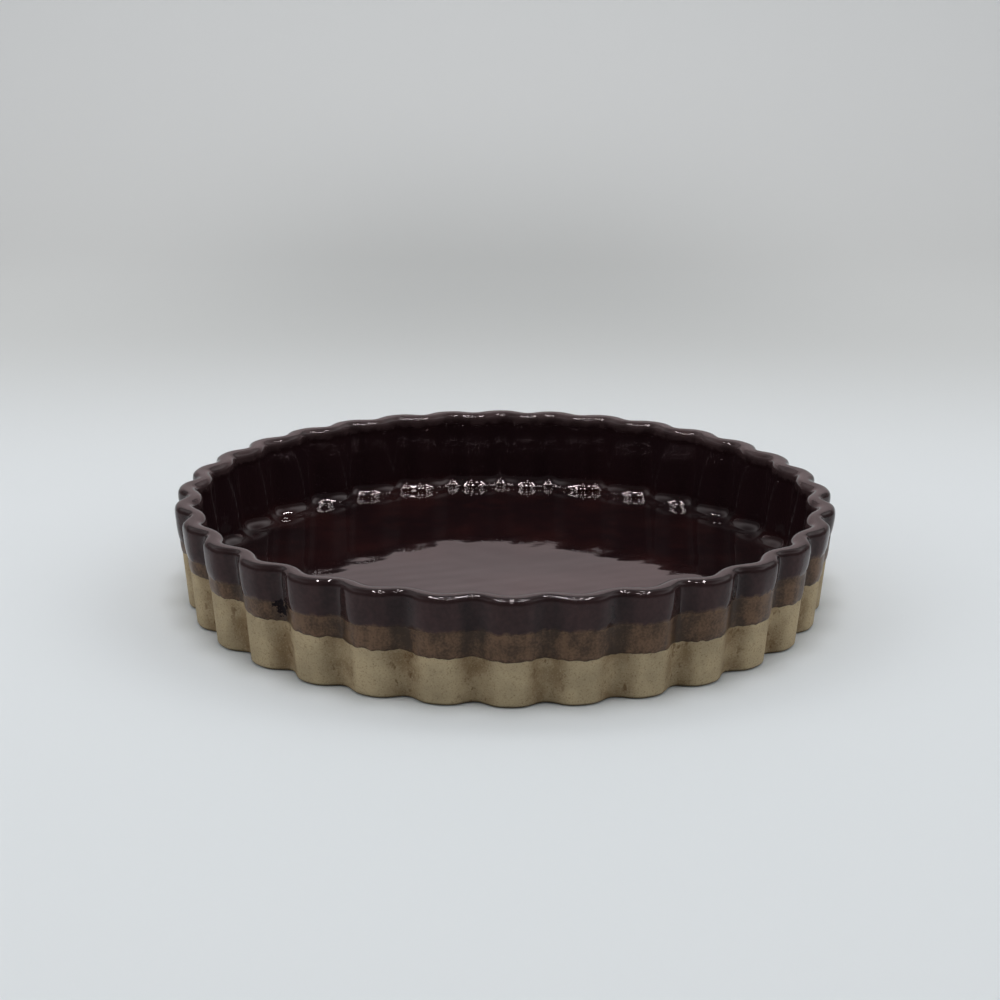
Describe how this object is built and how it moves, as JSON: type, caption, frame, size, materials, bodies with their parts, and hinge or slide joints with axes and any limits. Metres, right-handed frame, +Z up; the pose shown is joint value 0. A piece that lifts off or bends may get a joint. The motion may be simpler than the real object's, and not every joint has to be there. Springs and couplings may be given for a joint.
{
  "type": "quiche dish",
  "caption": "Round fluted stoneware quiche dish, dark glazed inside and over the rounded rim, with a brown band and bare buff clay below, for baking and serving.",
  "frame": {"origin": "middle of the circle that the dish stands on", "axes": "+Z up along the axis of the round dish, out of its open top; a flute's crest lies on each of +X, -X, +Y and -Y"},
  "size_m": [0.25, 0.25, 0.04],
  "materials": {
    "stoneware": "bare matte buff stoneware with a fine speckle",
    "oxblood_glaze": "deep gloss, dark oxblood",
    "brown_glaze": "satin brown",
    "plum_glaze": "gloss, dark plum brown"
  },
  "bodies": {
    "root": {"stoneware_body": "stoneware", "liner_glaze": "oxblood_glaze", "brown_glaze": "brown_glaze", "plum_glaze": "plum_glaze"}
  },
  "joints": []
}
